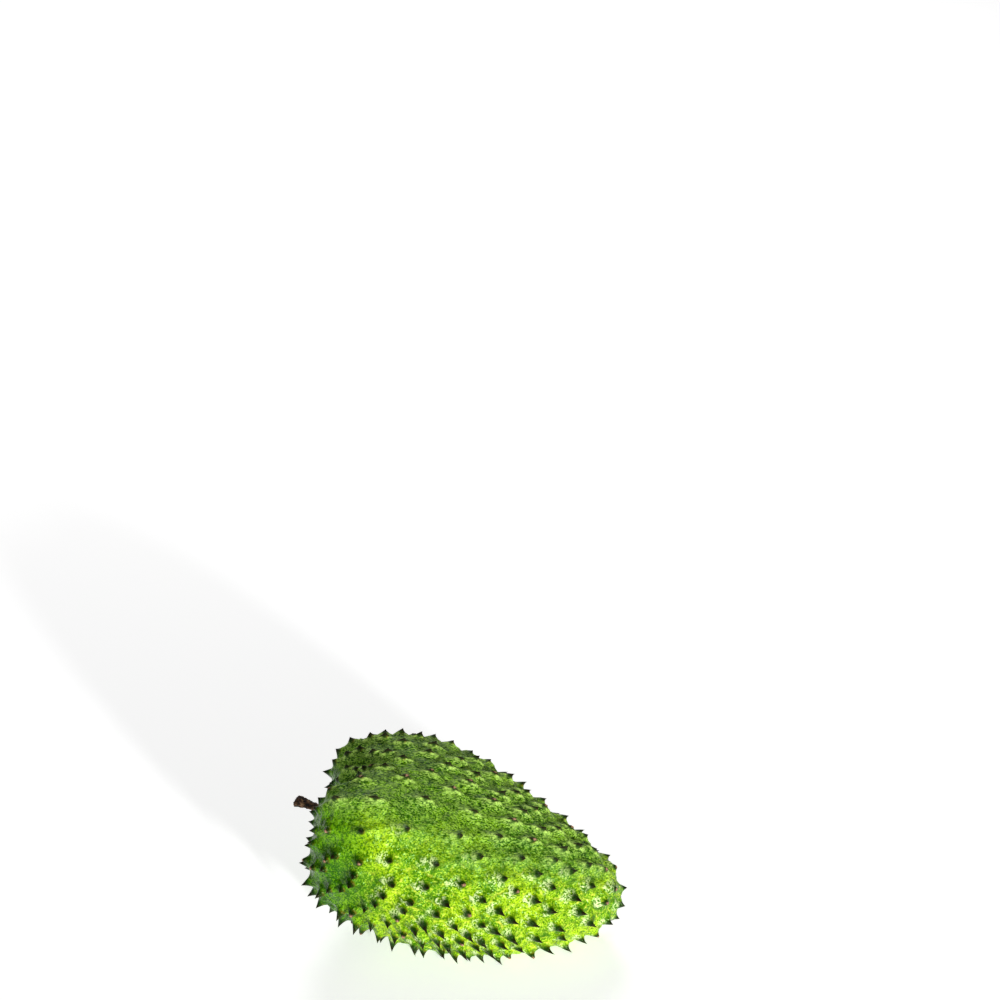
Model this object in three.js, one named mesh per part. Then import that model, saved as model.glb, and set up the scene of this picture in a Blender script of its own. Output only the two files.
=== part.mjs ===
// Soursop, lying on its side: one grown fruit with curved soft spines, and the woody stub of its stem.
// Millimetres, +Z up. +X runs from the stem end to the blossom end. The origin is under the middle of
// the fruit, on the surface that it rests on.
import * as THREE from "three";
import { ConvexGeometry } from "three/addons/geometries/ConvexGeometry.js";

// Driving dimensions of the plain body, before its swellings
const halfLength = 81.5;
const halfWidth = 45;
const halfHeight = 43;
const widthTaper = 0.4; // how much narrower the blossom end is than the stem end
const heightTaper = 0.055;
const stemEndRise = 21; // the stem end's middle lies this much higher than the fruit's
const middleSag = 10;
const centreHeight = 49.8;
const restBlend = 6; // height over which the underside rounds off into the flat spot

// Swellings and hollows: where each one points, how far it moves the skin, and how narrow it is
const swellings = [
  { towards: [-0.9, -0.29, -0.35], amount: 14.5, tightness: 7.5 }, // near shoulder
  { towards: [-0.43, 0.78, 0.44], amount: 22.5, tightness: 3 }, // far lobe
  { towards: [-0.62, -0.35, 0.7], amount: 18.5, tightness: 10 }, // crest above the near shoulder
  { towards: [-1, 0.02, -0.02], amount: -22.5, tightness: 12.5 }, // hollow that the stem stands in
  { towards: [-0.78, 0.06, 0.62], amount: -19, tightness: 16 }, // cleft between the lobes
  { towards: [-0.4, 0.1, -0.9], amount: 7.5, tightness: 5 }, // heel that the fruit rests on
  { towards: [0.62, 0, -0.78], amount: -4.5, tightness: 5 }, // lifted underside of the blossom end
];

// Spines, on a spiral lattice that growth has pulled apart over the swollen flesh
const spineCount = 340;
const stemEndCrowding = 0.5; // 0 spreads the lattice evenly between the ends
const growthCentres = [
  { towards: [-0.25, -0.5, 0.8], stretch: 0.55, reach: 0.8 },
  { towards: [0.15, -0.93, -0.35], stretch: -0.3, reach: 0.8 },
];
const latticeUnevenness = 0.024;
const moundHeight = 3.3; // skin drawn up round the foot of a spine
const moundRadius = 7.2;
const moundStretch = 2.4; // mounds on the upper side run together into ridges
const spineHeight = 4.7;
const spineRadius = 3.6;
const spineSharpness = 1.6; // above 1 the flanks are hollow
const upperSize = 0.56; // height of the spines on the upper side, as a share of those below
const stemEndSize = 0.75;
const blossomSize = 0.5;
const leanAtStemEnd = 0.15; // sideways travel of a tip, as a share of the spine's height
const leanAtBlossomEnd = 0.95;
const bareRadius = 13; // skin around the stem's foot that carries no spine
const fullGrowthRadius = 27; // distance from the stem's foot at which spines reach their full height
const stepsPerSide = 3; // the skin between three spines is this many triangles along a side
const footCrowding = 1.8; // draws the skin's rings of vertices in towards the spines

// Stem stub, along its own axis from its foot
const stemTowards = new THREE.Vector3(-1, 0.02, -0.12).normalize();
const stemDirection = new THREE.Vector3(-1, 0.3, 0.2).normalize();
const stemProfile = [
  [0, 0], [4.2, 0], [4.4, 1], [3.4, 3], [2.8, 6], [2.6, 10], [2.6, 14], [2.8, 17.6],
  [3.3, 19.6], [3.5, 21.6], [3.2, 22.8], [0, 23.4],
]; // radius, distance
const stemSides = 12;
const stemBend = 1.2; // sideways bow at the middle of the stub
const stemGap = 2.2; // clear of the hollow's floor

const blossomWards = new THREE.Vector3(1, 0, 0);
const bodyMiddle = new THREE.Vector3(5.5, -7.5, 0); // puts the origin under the middle of fruit and stem

// The same number from 0 to 1 for the same spine and purpose
function chance(index, purpose) {
  const wave = Math.sin(index * 12.9898 + purpose * 78.233) * 43758.5453;
  return wave - Math.floor(wave);
}

function smoothStep(low, high, value) {
  const share = THREE.MathUtils.clamp((value - low) / (high - low), 0, 1);
  return share * share * (3 - 2 * share);
}

// Flattens what would go below the resting surface, and rounds the edge of that flat spot
function settle(height) {
  const share = height / restBlend;
  if (share <= 0) return 0;
  if (share < 1) return (restBlend * share * share) / 2;
  return height - restBlend / 2;
}

// Point of the plain skin, without mounds and spines, in the direction of a unit vector
function skinPoint(direction) {
  const along = direction.x;
  const point = new THREE.Vector3(
    halfLength * along,
    halfWidth * (1 - widthTaper * along) * direction.y,
    halfHeight * (1 - heightTaper * along) * direction.z,
  );
  point.z += centreHeight - stemEndRise * along - middleSag * (1 - along * along);
  for (const swelling of swellings) {
    const towards = new THREE.Vector3(...swelling.towards).normalize();
    const share = Math.exp(swelling.tightness * (direction.dot(towards) - 1));
    point.addScaledVector(direction, swelling.amount * share);
  }
  point.z = settle(point.z);
  return point;
}

function skinNormal(direction) {
  const step = 0.02;
  const across = new THREE.Vector3(direction.y, direction.z, direction.x);
  const first = across.clone().cross(direction).normalize();
  const second = direction.clone().cross(first);
  const difference = (side) => {
    const ahead = direction.clone().addScaledVector(side, step).normalize();
    const behind = direction.clone().addScaledVector(side, -step).normalize();
    return skinPoint(ahead).sub(skinPoint(behind));
  };
  return difference(first).cross(difference(second)).normalize();
}

// Moves a direction away from a growth centre, so that the spines there stand further apart, or towards it
function grow(direction, centre) {
  const towards = new THREE.Vector3(...centre.towards).normalize();
  const angle = direction.angleTo(towards);
  const push = centre.stretch * angle * Math.exp(-((angle / centre.reach) ** 2));
  const away = direction.clone().addScaledVector(towards, -direction.dot(towards));
  return direction.multiplyScalar(Math.cos(push)).addScaledVector(away.normalize(), Math.sin(push));
}

function latticeDirection(index) {
  const goldenAngle = Math.PI * (3 - Math.sqrt(5));
  const share = (index + 0.5) / spineCount;
  const crowd = stemEndCrowding;
  const along = (1 - Math.sqrt(1 + 4 * crowd * (0.5 + crowd / 4 - share))) / crowd;
  const turn = index * goldenAngle;
  const around = Math.sqrt(1 - along * along);
  const direction = new THREE.Vector3(along, around * Math.cos(turn), around * Math.sin(turn));
  direction.x += latticeUnevenness * (2 * chance(index, 1) - 1);
  direction.y += latticeUnevenness * (2 * chance(index, 2) - 1);
  direction.z += latticeUnevenness * (2 * chance(index, 3) - 1);
  direction.normalize();
  for (const centre of growthCentres) grow(direction, centre).normalize();
  return direction;
}

// How far a spine has grown: not at all by the stem, and less where it would meet the floor
function growthShare(foot, normal) {
  const byStem = smoothStep(bareRadius, fullGrowthRadius, foot.distanceTo(stemFoot));
  if (normal.z >= 0) return byStem;
  const room = (foot.z - 0.3) / (-normal.z * (spineHeight + moundHeight));
  return Math.min(byStem, THREE.MathUtils.clamp(room, 0, 1));
}

// Spines are tallest low on the fruit, between its ends
function sizeAt(direction, upper) {
  const byBlossom = 1 + (blossomSize - 1) * smoothStep(0.7, 1, direction.x);
  const byStem = 1 + (stemEndSize - 1) * smoothStep(-0.6, -0.9, direction.x);
  return byBlossom * byStem * (1 + (upperSize - 1) * upper);
}

const stemFoot = skinPoint(stemTowards);

function makeSpine(index) {
  const direction = latticeDirection(index);
  const foot = skinPoint(direction);
  const normal = skinNormal(direction);
  const share = growthShare(foot, normal);
  const upper = smoothStep(-0.1, 0.7, normal.z);
  const lean = THREE.MathUtils.lerp(leanAtStemEnd, leanAtBlossomEnd, smoothStep(-0.8, 0.3, direction.x));
  const slant = blossomWards.clone().addScaledVector(normal, -blossomWards.dot(normal));
  const ridge = slant.clone().normalize();
  slant.applyAxisAngle(normal, 1.1 * (chance(index, 4) - 0.5));
  const height = spineHeight * share * (0.65 + 0.5 * chance(index, 5)) * sizeAt(direction, upper);
  const tipShift = normal.clone().multiplyScalar(height).addScaledVector(slant, lean * height);
  const radius = spineRadius * (0.55 + (0.45 * height) / spineHeight);
  return { direction, foot, share, tipShift, radius, ridge, stretch: 1 + (moundStretch - 1) * upper };
}

// Skin with its mounds and spines, in the direction of a unit vector
function grownPoint(direction) {
  const point = skinPoint(direction);
  const plain = point.clone();
  const normal = skinNormal(direction);
  for (const spine of spines) {
    const distance = plain.distanceTo(spine.foot);
    if (distance > moundRadius * moundStretch) continue;
    const lengthways = plain.clone().sub(spine.foot).dot(spine.ridge);
    const ridged = Math.sqrt(distance ** 2 - lengthways ** 2 * (1 - 1 / spine.stretch ** 2));
    const mound = Math.max(0, 1 - ridged / moundRadius) ** 2;
    const cone = Math.max(0, 1 - distance / spine.radius) ** spineSharpness;
    point.addScaledVector(normal, moundHeight * spine.share * mound);
    point.addScaledVector(spine.tipShift, cone);
  }
  point.z = Math.max(point.z, 0);
  return point;
}

// The triangle between three spines, cut into smaller ones whose vertices crowd round the spines
function fillTriangle(corners, positions) {
  const pointAt = (first, second) => {
    const shares = [stepsPerSide - first - second, first, second];
    const weights = shares.map((share) => (share / stepsPerSide) ** footCrowding);
    const direction = new THREE.Vector3();
    corners.forEach((spine, place) => direction.addScaledVector(spine.direction, weights[place]));
    return grownPoint(direction.normalize());
  };
  const add = (...points) => points.forEach((point) => positions.push(point.x, point.y, point.z));
  for (let first = 0; first < stepsPerSide; first += 1) {
    for (let second = 0; second < stepsPerSide - first; second += 1) {
      const beside = pointAt(first + 1, second);
      const above = pointAt(first, second + 1);
      add(pointAt(first, second), beside, above);
      if (first + second < stepsPerSide - 1) add(beside, pointAt(first + 1, second + 1), above);
    }
  }
}

const spines = Array.from({ length: spineCount }, (_, index) => makeSpine(index));

function fruitGeometry() {
  const spineAt = (corner) => spines.find((spine) => spine.direction.distanceTo(corner) < 1e-5);
  const hull = new ConvexGeometry(spines.map((spine) => spine.direction)).getAttribute("position");
  const positions = [];
  for (let start = 0; start < hull.count; start += 3) {
    const corners = [0, 1, 2].map((step) => new THREE.Vector3().fromBufferAttribute(hull, start + step));
    fillTriangle(corners.map(spineAt), positions);
  }
  const geometry = new THREE.BufferGeometry();
  geometry.setAttribute("position", new THREE.Float32BufferAttribute(positions, 3));
  return geometry;
}

function stemGeometry() {
  const outline = stemProfile.map(([radius, distance]) => new THREE.Vector2(radius, distance));
  const length = outline.at(-1).y;
  const geometry = new THREE.LatheGeometry(outline, stemSides);
  const position = geometry.getAttribute("position");
  for (let index = 0; index < position.count; index += 1) {
    const share = position.getY(index) / length;
    position.setX(index, position.getX(index) + 4 * stemBend * share * (1 - share));
  }
  return geometry;
}

function makeFruit() {
  const peel = new THREE.MeshStandardMaterial({ color: 0x6f9a1e, roughness: 0.5, metalness: 0 });
  const fruit = new THREE.Mesh(fruitGeometry(), peel);
  fruit.name = "fruit";
  return fruit;
}

function makeStem() {
  const bark = new THREE.MeshStandardMaterial({ color: 0x4a382c, roughness: 0.9, metalness: 0 });
  const stem = new THREE.Mesh(stemGeometry(), bark);
  stem.name = "stem";
  stem.position.copy(stemFoot).addScaledVector(stemDirection, stemGap);
  stem.quaternion.setFromUnitVectors(new THREE.Vector3(0, 1, 0), stemDirection);
  return stem;
}

const soursop = new THREE.Group();
soursop.add(makeFruit(), makeStem());
soursop.position.copy(bodyMiddle);

export default soursop;
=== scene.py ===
import math
import bmesh
import bpy
import numpy as np
from mathutils import Matrix, Vector, noise


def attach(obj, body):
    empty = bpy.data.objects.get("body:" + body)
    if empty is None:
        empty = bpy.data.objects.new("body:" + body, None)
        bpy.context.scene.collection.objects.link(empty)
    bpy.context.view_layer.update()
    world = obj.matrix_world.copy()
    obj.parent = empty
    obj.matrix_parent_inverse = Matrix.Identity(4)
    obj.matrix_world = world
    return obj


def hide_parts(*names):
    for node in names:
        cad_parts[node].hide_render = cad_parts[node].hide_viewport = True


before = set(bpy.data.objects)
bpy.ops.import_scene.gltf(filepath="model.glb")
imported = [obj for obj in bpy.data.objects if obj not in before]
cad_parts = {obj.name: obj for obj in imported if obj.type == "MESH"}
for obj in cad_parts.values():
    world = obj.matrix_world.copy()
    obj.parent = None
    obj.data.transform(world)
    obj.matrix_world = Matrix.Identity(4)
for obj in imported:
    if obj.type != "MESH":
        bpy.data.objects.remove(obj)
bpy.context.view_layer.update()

mm = 0.001  # the dictionaries below are in millimetres, Blender's objects in metres


def unit(vectors):
    vectors = np.asarray(vectors, float)
    return vectors / np.linalg.norm(vectors, axis=-1, keepdims=True)


# the same scrambled number from 0 to 1 for the same spine and purpose
def chance(index, purpose):
    wave = np.sin(index * 12.9898 + purpose * 78.233) * 43758.5453
    return wave - np.floor(wave)


def smoothStep(low, high, value):
    share = np.clip((value - low) / (high - low), 0, 1)
    return share * share * (3 - 2 * share)


# the plain flesh of the fruit, along X from stem end (-1) to blossom end (+1)
flesh = {
    "middle": np.array((5.5, -7.5, 0.0)),  # where the fruit's own middle stands in the frame
    "halfLength": 81.5,
    "halfWidth": 45.0,
    "halfHeight": 43.0,
    "widthTaper": 0.4,
    "heightTaper": 0.055,
    "stemEndRise": 21.0,
    "middleSag": 10.0,
    "centreHeight": 49.8,
    "restBlend": 6.0,  # height over which the underside rounds off into the flat spot
    # towards, amount, tightness
    "swellings": (
        ((-0.9, -0.29, -0.35), 14.5, 7.5),  # near shoulder
        ((-0.43, 0.78, 0.44), 22.5, 3.0),  # far lobe
        ((-0.62, -0.35, 0.7), 18.5, 10.0),  # crest above the near shoulder
        ((-1.0, 0.02, -0.02), -22.5, 12.5),  # hollow that the stem stands in
        ((-0.78, 0.06, 0.62), -19.0, 16.0),  # cleft between the lobes
        ((-0.4, 0.1, -0.9), 7.5, 5.0),  # heel that the fruit rests on
        ((0.62, 0.0, -0.78), -4.5, 5.0),  # lifted underside of the blossom end
    ),
    "stemTowards": (-1.0, 0.02, -0.12),
}


# rounds the underside off into the flat spot
def settle(height):
    blend = flesh["restBlend"]
    share = height / blend
    return np.where(share <= 0, 0, np.where(share < 1, blend * share * share / 2, height - blend / 2))


def skinPoints(directions):
    along = directions[:, 0]
    points = np.stack((
        flesh["halfLength"] * along,
        flesh["halfWidth"] * (1 - flesh["widthTaper"] * along) * directions[:, 1],
        flesh["halfHeight"] * (1 - flesh["heightTaper"] * along) * directions[:, 2],
    ), axis=1)
    points[:, 2] += flesh["centreHeight"] - flesh["stemEndRise"] * along
    points[:, 2] -= flesh["middleSag"] * (1 - along * along)
    for towards, amount, tightness in flesh["swellings"]:
        share = np.exp(tightness * (directions @ unit(towards) - 1))
        points += amount * share[:, None] * directions
    points[:, 2] = settle(points[:, 2])
    return points


def skinNormals(directions):
    step = 0.02
    first = unit(np.cross(np.roll(directions, -1, axis=1), directions))
    second = np.cross(directions, first)
    slopes = [skinPoints(unit(directions + step * side)) - skinPoints(unit(directions - step * side))
              for side in (first, second)]
    return unit(np.cross(slopes[0], slopes[1]))


def stemFoot():
    return skinPoints(unit([flesh["stemTowards"]]))[0]


# spines stand on a spiral lattice that growth has pulled apart over the swollen flesh
spineHabit = {
    "count": 340,
    "stemEndCrowding": 0.5,  # 0 spreads the lattice evenly between the ends
    # growth centres: towards, stretch, reach
    "growth": (((-0.25, -0.5, 0.8), 0.55, 0.8), ((0.15, -0.93, -0.35), -0.3, 0.8)),
    "unevenness": 0.024,
    "moundHeight": 3.3,
    "moundRadius": 7.2,
    "moundStretch": 2.4,  # mounds on the upper side run together into ridges
    "height": 4.7,
    "heightSpread": (0.65, 0.5),  # least share of the height, and how much chance adds
    "radius": 3.6,
    "radiusSpread": (0.55, 0.45),  # share of the radius that is fixed, and that follows the height
    "sharpness": 1.6,  # above 1 the flanks are hollow
    "upperSize": 0.56,
    "upperFrom": (-0.1, 0.7),  # how far the skin faces up where spines come down to that size
    "blossomSize": 0.5,
    "blossomFrom": (0.7, 1.0),  # along the fruit, from -1 to +1
    "stemEndSize": 0.75,
    "stemEndFrom": (-0.6, -0.9),
    "leanAtStemEnd": 0.15,  # sideways travel of a tip, as a share of the spine's height
    "leanAtBlossomEnd": 0.95,
    "leanFrom": (-0.8, 0.3),
    "swing": 1.1,  # radians between the most different slants
    "hook": 1.7,  # how late along the spine its lean sets in
    "bareRadius": 13.0,  # skin round the stem's foot without spines
    "fullGrowthRadius": 27.0,
    "restGap": 0.3,  # what the lowest tips keep clear of the ground
    "brokenShare": 0.16,  # spines that have lost their tip
    "brokenAt": 0.6,
    "brokenFrom": 0.4,  # stunted spines below this share of growth stay whole
}


def latticeDirections():
    index = np.arange(spineHabit["count"])
    crowd = spineHabit["stemEndCrowding"]
    share = (index + 0.5) / spineHabit["count"]
    along = (1 - np.sqrt(1 + 4 * crowd * (0.5 + crowd / 4 - share))) / crowd
    turn = index * math.pi * (3 - math.sqrt(5))
    around = np.sqrt(1 - along * along)
    directions = np.stack((along, around * np.cos(turn), around * np.sin(turn)), axis=1)
    for axis in range(3):
        directions[:, axis] += spineHabit["unevenness"] * (2 * chance(index, axis + 1) - 1)
    directions = unit(directions)
    for towards, stretch, reach in spineHabit["growth"]:
        centre = unit(towards)
        cosine = directions @ centre
        angle = np.arccos(np.clip(cosine, -1, 1))
        push = (stretch * angle * np.exp(-((angle / reach) ** 2)))[:, None]
        away = unit(directions - cosine[:, None] * centre)
        directions = unit(directions * np.cos(push) + away * np.sin(push))
    return directions


# every spine's foot, size, slant and character
def growSpines():
    index = np.arange(spineHabit["count"])
    directions = latticeDirections()
    feet = skinPoints(directions)
    normals = skinNormals(directions)
    along = directions[:, 0]
    upper = smoothStep(*spineHabit["upperFrom"], normals[:, 2])
    share = smoothStep(spineHabit["bareRadius"], spineHabit["fullGrowthRadius"],
                       np.linalg.norm(feet - stemFoot(), axis=1))
    fullHeight = spineHabit["height"] + spineHabit["moundHeight"]
    room = (feet[:, 2] - spineHabit["restGap"]) / (np.maximum(-normals[:, 2], 1e-3) * fullHeight)
    share = np.where(normals[:, 2] < 0, np.minimum(share, np.clip(room, 0, 1)), share)
    lean = np.interp(smoothStep(*spineHabit["leanFrom"], along), (0, 1),
                     (spineHabit["leanAtStemEnd"], spineHabit["leanAtBlossomEnd"]))
    slant = np.array((1.0, 0, 0)) - normals * normals[:, :1]
    turn = (spineHabit["swing"] * (chance(index, 4) - 0.5))[:, None]
    leastHeight, moreHeight = spineHabit["heightSpread"]
    height = spineHabit["height"] * share * (leastHeight + moreHeight * chance(index, 5))
    height *= 1 + (spineHabit["upperSize"] - 1) * upper
    height *= 1 + (spineHabit["blossomSize"] - 1) * smoothStep(*spineHabit["blossomFrom"], along)
    height *= 1 + (spineHabit["stemEndSize"] - 1) * smoothStep(*spineHabit["stemEndFrom"], along)
    fixedRadius, grownRadius = spineHabit["radiusSpread"]
    return {
        "directions": directions, "feet": feet, "normals": normals, "share": share, "lean": lean,
        "slant": slant * np.cos(turn) + np.cross(normals, slant) * np.sin(turn),
        "height": height,
        "radius": spineHabit["radius"] * (fixedRadius + grownRadius * height / spineHabit["height"]),
        "ridge": unit(slant),
        "ridgeStretch": 1 + (spineHabit["moundStretch"] - 1) * upper,
        "broken": (chance(index, 6) < spineHabit["brokenShare"]) & (share > spineHabit["brokenFrom"]),
        "beat": chance(index, 7),
    }


# the triangles between neighbouring spines, from the hull of their directions
def spineTriangles(directions):
    hull = bmesh.new()
    corners = [hull.verts.new(direction) for direction in directions]
    hull.verts.index_update()
    bmesh.ops.convex_hull(hull, input=corners)
    triangles = [[vert.index for vert in face.verts] for face in hull.faces]
    hull.free()
    return np.array(triangles)


skinRelief = {
    "stepsPerSide": 16,  # the skin between three spines is this many triangles along a side
    "footCrowding": 1.5,
    "atOnce": 3000,  # vertices that are worked out together
    "upperFrom": (0.3, 0.95),  # how far the skin faces up where the upper side's looks set in
    "shoulderFrom": (30.0, 65.0),  # millimetres from the middle towards the stem end
    # height in millimetres first, then how many of its waves go to the millimetre
    "swell": (0.9, 1 / 26.0),
    "dimple": (0.95, 1 / 5.5),
    "pebble": (0.34, 1 / 2.0),
    "streak": (0.5, 1 / 3.2),
    "streakLength": 5.0,
    "streakTop": (0.7, 1.0),  # how near to its crest a streak takes on waxy bloom and painted sheen
    "ripple": 0.28,  # arcs of slack skin on the side that a spine leans to
    "rippleLength": 2.0,
    "rippleShift": 6.0,  # radians that the arcs of two spines may be out of step
    "rippleStart": (2.8, 3.8),  # distances from the spine
    "rippleEnd": (5.0, 7.5),
    "rippleSide": (-0.1, 0.7),  # 1 is the side that the spine leans to, -1 the other
    "sideFrom": 0.5,  # nearer to the spine than this the two sides run together
    "rippleTop": (0.3, 0.9),  # how near to its crest an arc is coloured with a painted highlight
    "seam": 0.6,  # furrow where two spines' patches of skin meet
    "seamWidth": 1.2,
    "seamColour": 0.7,
    "crest": 1.1,  # sharp ridge that runs out from each spine on the upper side
    "crestWidth": 1.3,
    "crestLength": 9.0,
    "smallestSpine": 0.8,  # lower ones keep the skin's own colour
    "cutEdge": 0.12,
}


# cuts each triangle into many, with rings of vertices crowding round the spines
def fineDirections(directions, triangles):
    steps = skinRelief["stepsPerSide"]
    found = {}
    rows = []
    faces = []

    def vertex(corners, shares):
        key = tuple(sorted((corner, share) for corner, share in zip(corners, shares) if share))
        if key not in found:
            found[key] = len(rows)
            weights = [(share / steps) ** skinRelief["footCrowding"] for share in shares]
            rows.append(sum(weight * directions[corner] for weight, corner in zip(weights, corners)))
        return found[key]

    for corners in triangles.tolist():
        grid = {(one, two): vertex(corners, (steps - one - two, one, two))
                for one in range(steps + 1) for two in range(steps + 1 - one)}
        for one in range(steps):
            for two in range(steps - one):
                faces.append((grid[one, two], grid[one + 1, two], grid[one, two + 1]))
                if one + two < steps - 1:
                    faces.append((grid[one + 1, two], grid[one + 1, two + 1], grid[one, two + 1]))
    return unit(rows), faces


def noiseAt(points, scale, seed):
    shift = Vector((seed * 17.3, seed * 5.1, seed * 9.7))
    return np.array([noise.noise(Vector(point) * scale + shift) for point in points])


# moves one stretch of skin out into its mounds and spines, and says what each vertex is part of
def growStretch(plain, normals, spines):
    between = plain[:, None, :] - spines["feet"][None, :, :]
    distance = np.linalg.norm(between, axis=2)
    order = np.argsort(distance, axis=1)[:, :2]
    rows = np.arange(len(plain))
    owner = order[:, 0]
    near = distance[rows, owner]
    second = distance[rows, order[:, 1]]

    lengthways = np.einsum("ijk,jk->ij", between, spines["ridge"])
    shorter = 1 - 1 / spines["ridgeStretch"] ** 2
    ridged = np.sqrt(np.maximum(distance ** 2 - lengthways ** 2 * shorter, 0))
    mound = np.clip(1 - ridged / spineHabit["moundRadius"], 0, 1) ** 2 * spines["share"]
    cone = np.clip(1 - distance / spines["radius"], 0, 1) ** spineHabit["sharpness"]
    limit = np.where(spines["broken"], spineHabit["brokenAt"], 1.0)
    rise = np.minimum(cone, limit)
    moved = normals * (spineHabit["moundHeight"] * mound.sum(axis=1))[:, None]
    moved += (rise * spines["height"]) @ spines["normals"]
    moved += (rise ** spineHabit["hook"] * spines["lean"] * spines["height"]) @ spines["slant"]

    spike = cone[rows, owner]
    lee = np.einsum("ij,ij->i", between[rows, owner], spines["slant"][owner])
    lee = np.clip(lee / np.maximum(near, skinRelief["sideFrom"]), -1, 1)
    seam = np.exp(-((second - near) / skinRelief["seamWidth"]) ** 2)
    wave = near * 2 * math.pi / skinRelief["rippleLength"]
    wave = np.sin(wave + skinRelief["rippleShift"] * spines["beat"][owner])
    band = smoothStep(*skinRelief["rippleStart"], near) * (1 - smoothStep(*skinRelief["rippleEnd"], near))
    band *= smoothStep(*skinRelief["rippleSide"], lee)
    out = np.abs(lengthways[rows, owner])
    across = np.sqrt(np.maximum(near ** 2 - out ** 2, 0))
    upper = smoothStep(*skinRelief["upperFrom"], normals[:, 2])
    crest = np.exp(-((across / skinRelief["crestWidth"]) ** 2))
    crest *= 1 - smoothStep(0, skinRelief["crestLength"], out)
    crest *= upper * spines["share"][owner]
    shoulder = smoothStep(*skinRelief["shoulderFrom"], -plain[:, 0])
    lift = skinRelief["ripple"] * wave * band + skinRelief["crest"] * crest
    lift -= skinRelief["seam"] * seam * (1 - shoulder)
    moved += normals * (lift * (1 - spike))[:, None]
    return moved, {
        "spike": spike * (spines["height"][owner] > skinRelief["smallestSpine"]),
        "mound": mound[rows, owner],
        "cut": smoothStep(0, skinRelief["cutEdge"], spike - limit[owner]),
        # yellow seam lines, and painted highlight on the crests of the arcs of slack skin
        "creaseAndHighlight": np.maximum(skinRelief["seamColour"] * seam,
                             band * smoothStep(*skinRelief["rippleTop"], wave)),
        "lee": lee,
        "upper": upper,
        "crest": crest,
        "shoulder": shoulder,
    }


def growSkin(directions, spines):
    plain = skinPoints(directions)
    normals = skinNormals(directions)
    atOnce = skinRelief["atOnce"]
    stretches = [growStretch(plain[start:start + atOnce], normals[start:start + atOnce], spines)
                 for start in range(0, len(plain), atOnce)]
    points = plain + np.concatenate([moved for moved, _ in stretches])
    looks = {look: np.concatenate([values[look] for _, values in stretches]) for look in stretches[0][1]}
    calm = (1 - looks["spike"]) ** 2
    relief = np.zeros(len(plain))
    for seed, (kind, where) in enumerate((("swell", 1.0), ("dimple", calm), ("pebble", calm)), start=1):
        depth, waves = skinRelief[kind]
        relief += depth * noiseAt(plain, waves, seed) * where
    depth, waves = skinRelief["streak"]
    drawnOut = plain * np.array((1 / skinRelief["streakLength"], 1, 1))
    streak = 1 - 2 * np.abs(noiseAt(drawnOut, waves, 4))
    relief += depth * streak * calm * looks["upper"]
    points += normals * relief[:, None]
    points[:, 2] = np.maximum(points[:, 2], 0)
    looks["streak"] = smoothStep(*skinRelief["streakTop"], streak)
    return points, looks


def meshPiece(name, points, faces, looks):
    mesh = bpy.data.meshes.new(name)
    mesh.from_pydata(((points + flesh["middle"]) * mm).tolist(), [], faces)
    for look, values in looks.items():
        layer = mesh.attributes.new(look, "FLOAT", "POINT")
        layer.data.foreach_set("value", np.asarray(values, np.float32))
    mesh.polygons.foreach_set("use_smooth", [True] * len(mesh.polygons))
    mesh.update()
    piece = bpy.data.objects.new(name, mesh)
    bpy.context.collection.objects.link(piece)
    return piece


def makeFruit():
    spines = growSpines()
    directions, faces = fineDirections(spines["directions"], spineTriangles(spines["directions"]))
    points, looks = growSkin(directions, spines)
    fruit = meshPiece("soursopSkin", points, faces, looks)
    print("fruit:", len(points), "vertices,", len(faces), "faces,",
          int(spines["broken"].sum()), "broken spines")
    return fruit


def newMaterial(name):
    material = bpy.data.materials.new(name)
    material.use_nodes = True
    nodes = material.node_tree.nodes
    nodes.clear()
    output = nodes.new("ShaderNodeOutputMaterial")
    shader = nodes.new("ShaderNodeBsdfPrincipled")
    material.node_tree.links.new(shader.outputs[0], output.inputs[0])
    return material, shader


def nodeAdder(material):
    tree = material.node_tree

    def add(kind, inputs=None, **settings):
        node = tree.nodes.new(kind)
        for name, value in settings.items():
            setattr(node, name, value)
        for socket, value in (inputs or {}).items():
            if isinstance(value, bpy.types.NodeSocket):
                tree.links.new(value, node.inputs[socket])
            else:
                node.inputs[socket].default_value = value
        return node

    return add


def ramp(add, factor, stops):
    node = add("ShaderNodeValToRGB", {0: factor})
    elements = node.color_ramp.elements
    while len(elements) < len(stops):
        elements.new(0.5)
    for element, (place, colour) in zip(elements, stops):
        element.position = place
        element.color = (*colour, 1)
    return node.outputs["Color"]


def mixColour(add, factor, first, second):
    if not isinstance(second, bpy.types.NodeSocket):
        second = (*second, 1)
    return add("ShaderNodeMix", {0: factor, 6: first, 7: second}, data_type="RGBA").outputs[2]


def mapRange(add, value, low, high, toLow=0.0, toHigh=1.0):
    inputs = {0: value, 1: low, 2: high, 3: toLow, 4: toHigh}
    return add("ShaderNodeMapRange", inputs, clamp=True).outputs[0]


def reckon(add, operation, first, second=0.0):
    return add("ShaderNodeMath", {0: first, 1: second}, operation=operation).outputs[0]


def times(add, first, second):
    return reckon(add, "MULTIPLY", first, second)


def speckle(add, place, scale, detail, distortion):
    inputs = {"Vector": place, "Scale": scale, "Detail": detail, "Distortion": distortion}
    return add("ShaderNodeTexNoise", inputs).outputs["Fac"]


def bump(add, height, strength, distance, under=None):
    inputs = {"Height": height, "Strength": strength, "Distance": distance}
    if under:
        inputs["Normal"] = under
    return add("ShaderNodeBump", inputs).outputs[0]


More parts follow.
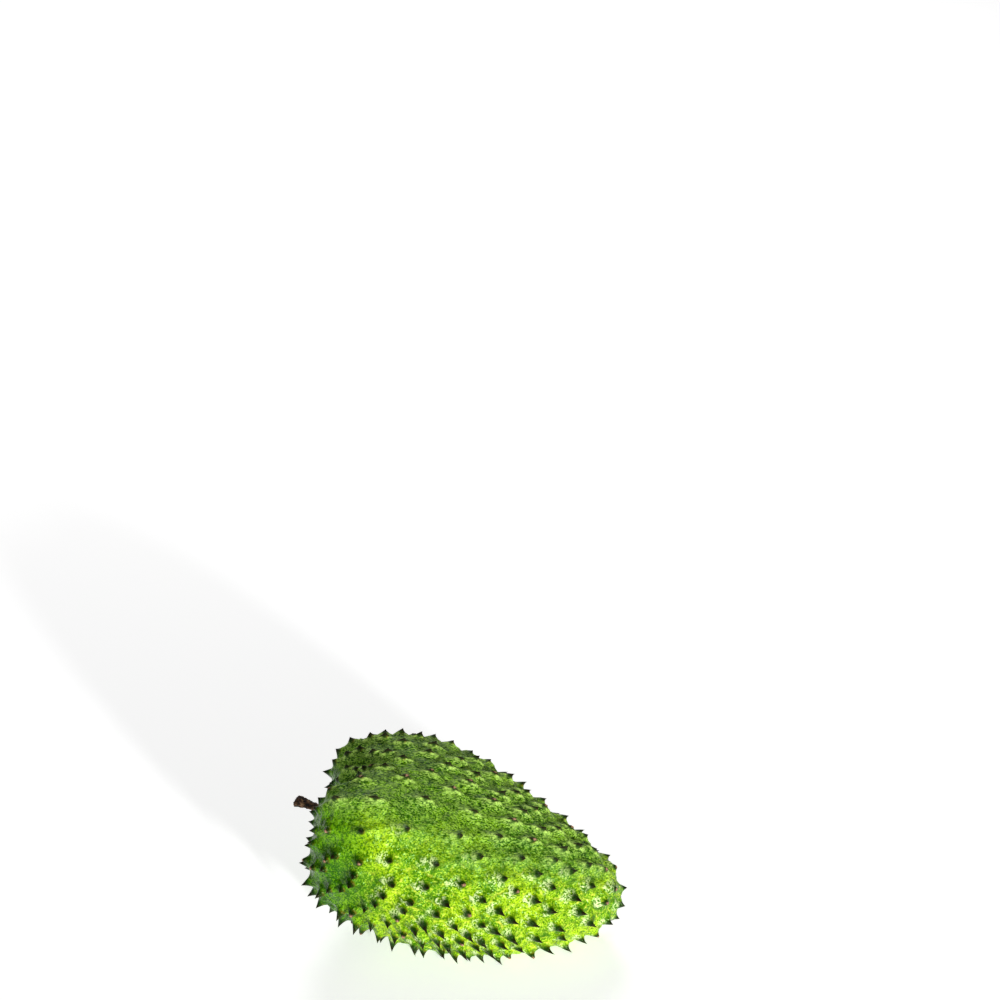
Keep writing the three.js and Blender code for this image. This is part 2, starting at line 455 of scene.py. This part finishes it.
peel = {
    "deep": (0.005, 0.045, 0.0),
    "pore": (0.045, 0.19, 0.0),
    "leaf": (0.12, 0.32, 0.001),
    "lime": (0.4, 0.66, 0.001),
    "fleck": (0.62, 0.88, 0.05),
    # yellow of the seams, also the painted highlight on the ripples' crests
    "creaseAndHighlight": (0.78, 0.74, 0.08),
    "paintedShade": (0.34, 0.53, 0.25),  # painted shade that darkens the upper side and the stem end
    # pale waxy bloom together with painted sheen on the upper side's streaks, hairlines and crests
    "waxAndSheen": (0.52, 0.8, 0.15),
    "paintedHighlight": (0.78, 0.95, 0.44),  # painted highlight on the side of each mound that its spine leans away from
    "spine": (0.002, 0.03, 0.0),
    "tip": (0.012, 0.006, 0.003),
    "scar": (0.5, 0.27, 0.17),
    "scarHeart": (0.1, 0.03, 0.015),
    "rust": (0.42, 0.2, 0.02),
    # noises: scale, detail, distortion
    "patch": (42.0, 3.0, 0.0),
    "mottle": (230.0, 4.0, 0.0),
    "grain": (1100.0, 1.0, 0.5),
    "swirl": (320.0, 1.0, 0.8),
    "worms": (400.0, 1.0, 0.0),
    "fibres": (1600.0, 1.0, 0.4),
    "fibreStretch": (0.35, 1.0, 1.0),
    # where the two greens of the patches stand
    "leafAt": 0.4,
    "limeAt": 0.6,
    # from, to, and then the share at each end where it isn't 0 and 1
    "mottled": (0.5, 0.32, 0.0, 0.75),
    "moundShade": (0.22, 0.65, 0.0, 0.85),
    "moundShadeSide": (0.7, -0.5),
    "pores": (0.48, 0.39, 0.0, 0.9),
    "flecks": (0.53, 0.63, 0.0, 0.7),
    "fleckPatches": (0.36, 0.56, 0.2, 1.0),
    "hairlines": (0.48, 0.39, 0.0, 0.92),
    "waxAndSheenStreaks": (0.4, 0.6, 0.2, 0.8),
    "waxAndSheenHairlines": (0.52, 0.6, 0.0, 0.95),
    "waxAndSheenMounds": (0.0, 0.5, 0.45, 0.8),
    "waxAndSheenCrests": (0.12, 0.4),
    "crestGrain": (0.4, 0.52, 0.3, 1.0),
    "clearSkin": (0.0, 0.6, 1.0, 0.0),
    "creasesAndHighlights": (0.35, 0.9, 0.0, 0.8),
    "creaseAndHighlightPatches": (0.42, 0.58),
    "highlightMounds": (0.08, 0.25),
    "highlightSide": (0.1, -0.6),
    "highlightSwirls": (0.42, 0.52),
    "highlightGrain": (0.43, 0.52, 0.0, 0.9),
    "rustyFoot": (0.12, 0.3, 0.0, 0.6),
    "rustySide": (0.2, 0.8),
    "ragged": (0.3, 0.7, -0.09, 0.09),
    "spineDark": (0.12, 0.34, 0.0, 0.96),
    "tipDark": (0.45, 0.62),
    "crestDark": (0.58, 0.74, 0.0, 0.92),
    "heart": (0.84, 0.94),
    "wormWidth": (0.0, 0.12, 1.0, 0.0),
    "roughness": (0.3, 0.7, 0.14, 0.26),
    "upperPaintedShade": 0.9,
    "upperRetreat": 0.03,  # spines on the upper side are dark over less of their height
    "upperDullness": 0.35,
    "spikeDullness": 0.2,
    # bumps: strength, distance in metres
    "fineBump": (0.8, 0.00006),
    "wormyBump": (0.8, 0.00005),
    "coarseBump": (0.9, 0.0013),
    "specular": 0.3,
    "specularTint": (0.6, 1.0, 0.35, 1),
}


def peelMaterial():
    material, shader = newMaterial("soursopPeel")
    add = nodeAdder(material)
    place = add("ShaderNodeTexCoord").outputs["Object"]
    look = {name: add("ShaderNodeAttribute", attribute_name=name).outputs["Fac"]
            for name in ("spike", "mound", "cut", "creaseAndHighlight", "lee", "upper", "crest", "shoulder", "streak")}
    patch, mottle, grain, swirl, worms = (
        speckle(add, place, *peel[name]) for name in ("patch", "mottle", "grain", "swirl", "worms"))
    lengthways = add("ShaderNodeVectorMath", {0: place, 1: peel["fibreStretch"]}, operation="MULTIPLY")
    fibres = speckle(add, lengthways.outputs[0], *peel["fibres"])

    def share(value, name):
        return mapRange(add, value, *peel[name])

    def paint(under, amount, name):
        return mixColour(add, amount, under, peel[name])

    # greens, pores and flecks, and painted shade round each mound
    colour = ramp(add, patch, ((peel["leafAt"], peel["leaf"]), (peel["limeAt"], peel["lime"])))
    colour = paint(colour, share(mottle, "mottled"), "deep")
    # painted shade: deep green on the side of each mound that its spine leans away from
    shade = times(add, share(look["mound"], "moundShade"), share(look["lee"], "moundShadeSide"))
    colour = paint(colour, shade, "deep")
    colour = paint(colour, share(grain, "pores"), "pore")
    colour = paint(colour, times(add, share(grain, "flecks"), share(mottle, "fleckPatches")), "fleck")

    # painted shade on the upper side and stem end, with fine dark lines and pale lines of waxy bloom and
    # painted sheen
    # painted shade: the skin is darkened by how far it faces up, and towards the stem end
    shaded = reckon(add, "MAXIMUM", times(add, look["upper"], peel["upperPaintedShade"]), look["shoulder"])
    colour = add("ShaderNodeMix", {0: shaded, 6: colour, 7: (*peel["paintedShade"], 1)},
                 data_type="RGBA", blend_type="MULTIPLY").outputs[2]
    colour = paint(colour, times(add, look["upper"], share(fibres, "hairlines")), "deep")
    # waxy bloom and painted sheen on streaks, hairlines and mounds, and painted sheen along the crests
    waxAndSheenShare = times(add, look["streak"], share(mottle, "waxAndSheenStreaks"))
    waxAndSheenShare = reckon(add, "MAXIMUM", waxAndSheenShare, share(fibres, "waxAndSheenHairlines"))
    waxAndSheenShare = times(add, waxAndSheenShare, share(look["mound"], "waxAndSheenMounds"))
    ridged = times(add, share(look["crest"], "waxAndSheenCrests"), share(grain, "crestGrain"))
    waxAndSheenShare = reckon(add, "MAXIMUM", waxAndSheenShare, ridged)
    colour = paint(colour, times(add, look["upper"], waxAndSheenShare), "waxAndSheen")

    # yellow seam lines with painted highlights on the ripples' crests, and painted highlights on the skin
    # outside the painted shade
    clear = share(shaded, "clearSkin")
    # yellow along the seams, and painted highlight on the crests of the arcs
    creaseAndHighlight = times(add, share(look["creaseAndHighlight"], "creasesAndHighlights"), share(mottle, "creaseAndHighlightPatches"))
    colour = paint(colour, times(add, creaseAndHighlight, clear), "creaseAndHighlight")
    # painted highlight: pale patches beside each mound, on the side away from its spine's lean
    paintedHighlight = times(add, share(look["mound"], "highlightMounds"), share(look["lee"], "highlightSide"))
    paintedHighlight = times(add, times(add, paintedHighlight, clear), share(swirl, "highlightSwirls"))
    colour = paint(colour, times(add, paintedHighlight, share(grain, "highlightGrain")), "paintedHighlight")

    # spines, dark towards the tip, and the scars of broken ones
    rusty = times(add, share(look["spike"], "rustyFoot"), share(look["lee"], "rustySide"))
    colour = paint(colour, rusty, "rust")
    ragged = reckon(add, "ADD", share(grain, "ragged"), look["spike"])
    darkened = reckon(add, "SUBTRACT", ragged, times(add, look["upper"], peel["upperRetreat"]))
    colour = paint(colour, share(darkened, "spineDark"), "spine")
    colour = paint(colour, share(ragged, "tipDark"), "tip")
    colour = paint(colour, share(look["crest"], "crestDark"), "tip")
    colour = paint(colour, look["cut"], "scar")
    colour = paint(colour, times(add, look["cut"], share(look["spike"], "heart")), "scarHeart")
    material.node_tree.links.new(colour, shader.inputs["Base Color"])

    roughness = share(mottle, "roughness")
    for dull in ("upper", "spike"):
        roughness = reckon(add, "ADD", roughness, times(add, look[dull], peel[dull + "Dullness"]))
    material.node_tree.links.new(roughness, shader.inputs["Roughness"])
    worms = reckon(add, "ABSOLUTE", reckon(add, "SUBTRACT", worms, 0.5))  # thin lines at mid height
    normal = bump(add, grain, *peel["fineBump"])
    normal = bump(add, share(worms, "wormWidth"), *peel["wormyBump"], normal)
    normal = bump(add, swirl, *peel["coarseBump"], normal)
    material.node_tree.links.new(normal, shader.inputs["Normal"])
    shader.inputs["Specular IOR Level"].default_value = peel["specular"]
    shader.inputs["Specular Tint"].default_value = peel["specularTint"]
    return material


stemHabit = {
    "direction": (-1.0, 0.3, 0.2),
    "sunk": 3.0,  # how deep its foot goes into the hollow
    # distance from the foot, radius
    "profile": ((0.0, 6.0), (3.4, 5.2), (4.6, 4.5), (6.0, 3.4), (8.5, 2.5), (12.0, 2.1), (17.0, 2.15),
                (21.0, 2.4), (24.0, 2.8), (26.6, 3.2), (28.0, 3.2), (28.3, 2.9)),
    "knobs": ((0.55, 0.5), (0.45, 1.2)),  # height, waves to the millimetre
    "splinters": 1.1,  # how far the broken end stands out or in
    "splinterWaves": 2.2,
    "splintersFrom": (0.85, 1.0),
    "collarFrom": (8.0, 3.5),  # distance from the foot at which the green collar sets in
    "collarEdge": (2.0, 0.6),  # how ragged its edge is, waves to the millimetre
    "bend": 1.2,  # sideways bow at the middle
    "around": 96,
    "along": 150,
}


# the stem stub: rings of bark round a bent line, closed by its broken end
def makeStem():
    foot = stemFoot()
    axis = unit(stemHabit["direction"])
    side = unit(np.cross(axis, (0, 0, 1)))
    up = np.cross(side, axis)
    distances, radii = np.array(stemHabit["profile"]).T
    length = distances[-1]
    around = stemHabit["around"]
    uneven, edgeWaves = stemHabit["collarEdge"]
    points = []
    collar = []
    for ring in range(stemHabit["along"] + 1):
        distance = length * ring / stemHabit["along"]
        share = distance / length
        middle = foot + axis * (distance - stemHabit["sunk"])
        middle = middle + up * 4 * stemHabit["bend"] * share * (1 - share)
        radius = np.interp(distance, distances, radii)
        for turn in range(around):
            angle = 2 * math.pi * turn / around
            outward = side * math.cos(angle) + up * math.sin(angle)
            spot = Vector(middle + outward * radius)
            rough = sum(height * noise.noise(spot * waves) for height, waves in stemHabit["knobs"])
            torn = stemHabit["splinters"] * smoothStep(*stemHabit["splintersFrom"], share)
            torn *= noise.noise(Vector(outward) * stemHabit["splinterWaves"])
            points.append(middle + outward * (radius + rough) + axis * torn)
            edge = distance + uneven * noise.noise(spot * edgeWaves)
            collar.append(smoothStep(*stemHabit["collarFrom"], edge))
    faces = []
    for ring in range(stemHabit["along"]):
        for turn in range(around):
            following = (turn + 1) % around
            low, high = ring * around, (ring + 1) * around
            faces.append((low + turn, low + following, high + following, high + turn))
    for ring, order in ((0, -1), (stemHabit["along"], 1)):
        faces.append(tuple(ring * around + turn for turn in range(around))[::order])
    stem = meshPiece("woodyStem", np.array(points), faces, {"collar": np.array(collar)})
    print("stem:", len(points), "vertices")
    return stem


bark = {
    "dark": (0.006, 0.003, 0.002),
    "brown": (0.08, 0.032, 0.013),
    "pale": (0.36, 0.2, 0.1),
    "green": (0.12, 0.13, 0.035),
    "stops": (0.4, 0.52, 0.66),  # where the dark, the brown and the pale stand
    "grain": (420.0, 5.0, 0.0),  # scale, detail, distortion
    "bump": (0.8, 0.0008),  # strength, distance in metres
    "roughness": 0.85,
}


def barkMaterial():
    material, shader = newMaterial("stemBark")
    add = nodeAdder(material)
    place = add("ShaderNodeTexCoord").outputs["Object"]
    collar = add("ShaderNodeAttribute", attribute_name="collar").outputs["Fac"]
    grain = speckle(add, place, *bark["grain"])
    colour = ramp(add, grain, tuple(zip(bark["stops"], (bark["dark"], bark["brown"], bark["pale"]))))
    colour = mixColour(add, collar, colour, bark["green"])
    material.node_tree.links.new(colour, shader.inputs["Base Color"])
    material.node_tree.links.new(bump(add, grain, *bark["bump"]), shader.inputs["Normal"])
    shader.inputs["Roughness"].default_value = bark["roughness"]
    return material


# metres
floorPaper = {"size": 14.0, "colour": (0.86, 0.86, 0.86, 1), "roughness": 0.9, "glow": 0.54}


def makeFloor():
    half = floorPaper["size"] / 2
    mesh = bpy.data.meshes.new("studioFloor")
    corners = [(-half, -half, 0), (half, -half, 0), (half, half, 0), (-half, half, 0)]
    mesh.from_pydata(corners, [], [(0, 1, 2, 3)])
    floor = bpy.data.objects.new("studioFloor", mesh)
    bpy.context.collection.objects.link(floor)
    material, shader = newMaterial("floorPaper")
    shader.inputs["Base Color"].default_value = floorPaper["colour"]
    shader.inputs["Roughness"].default_value = floorPaper["roughness"]
    shader.inputs["Emission Color"].default_value = (1, 1, 1, 1)
    shader.inputs["Emission Strength"].default_value = floorPaper["glow"]
    mesh.materials.append(material)


# metres and watts
lighting = {
    "sky": 0.12,
    "boxes": (
        # name, place, size, power
        ("keyLight", (1.25, -1.7, 0.46), 0.15, 46.0),
        ("glintLight", (-1.0, -1.75, 1.15), 0.11, 6.0),
        ("topLight", (-0.35, 1.6, 1.45), 0.9, 16.0),
    ),
}


def makeLights(middle):
    world = bpy.data.worlds.new("studioWorld")
    world.use_nodes = True
    background = world.node_tree.nodes["Background"]
    background.inputs["Color"].default_value = (1, 1, 1, 1)
    background.inputs["Strength"].default_value = lighting["sky"]
    bpy.context.scene.world = world
    for name, place, size, power in lighting["boxes"]:
        light = bpy.data.lights.new(name, "AREA")
        light.shape = "DISK"
        light.size = size
        light.energy = power
        lamp = bpy.data.objects.new(name, light)
        lamp.location = place
        lamp.rotation_euler = (middle - Vector(place)).to_track_quat("-Z", "Y").to_euler()
        bpy.context.collection.objects.link(lamp)


view = {
    "turn": 8.0,  # degrees round from the side, towards the blossom end
    "tilt": 27.5,
    "lens": 100.0,
    "distance": 1.5,
    "farthest": 60.0,
    "aimRight": 0.0167,  # the fruit lies low and a little left of the view's middle
    "aimUp": 0.191,
    "fruitMiddle": Vector((0.0055, -0.0075, 0.048)),
}


def makeCamera():
    turn, tilt = math.radians(view["turn"]), math.radians(view["tilt"])
    back = Vector((math.sin(turn) * math.cos(tilt), -math.cos(turn) * math.cos(tilt), math.sin(tilt)))
    right = Vector((math.cos(turn), math.sin(turn), 0))
    up = back.cross(right)
    aim = view["fruitMiddle"] + right * view["aimRight"] + up * view["aimUp"]
    camera = bpy.data.objects.new("camera", bpy.data.cameras.new("camera"))
    camera.data.lens = view["lens"]
    camera.data.clip_end = view["farthest"]
    facing = Matrix((right, up, back)).transposed()
    camera.matrix_world = Matrix.Translation(aim + back * view["distance"]) @ facing.to_4x4()
    bpy.context.collection.objects.link(camera)
    bpy.context.scene.camera = camera


bpy.context.scene.view_settings.view_transform = "Standard"
makeCamera()
makeLights(view["fruitMiddle"])
makeFloor()
print("studio: camera,", len(lighting["boxes"]), "lights and floor")

fruit = makeFruit()
fruit.data.materials.append(peelMaterial())
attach(fruit, "root")
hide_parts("fruit")

stem = makeStem()
stem.data.materials.append(barkMaterial())
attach(stem, "root")
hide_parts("stem")
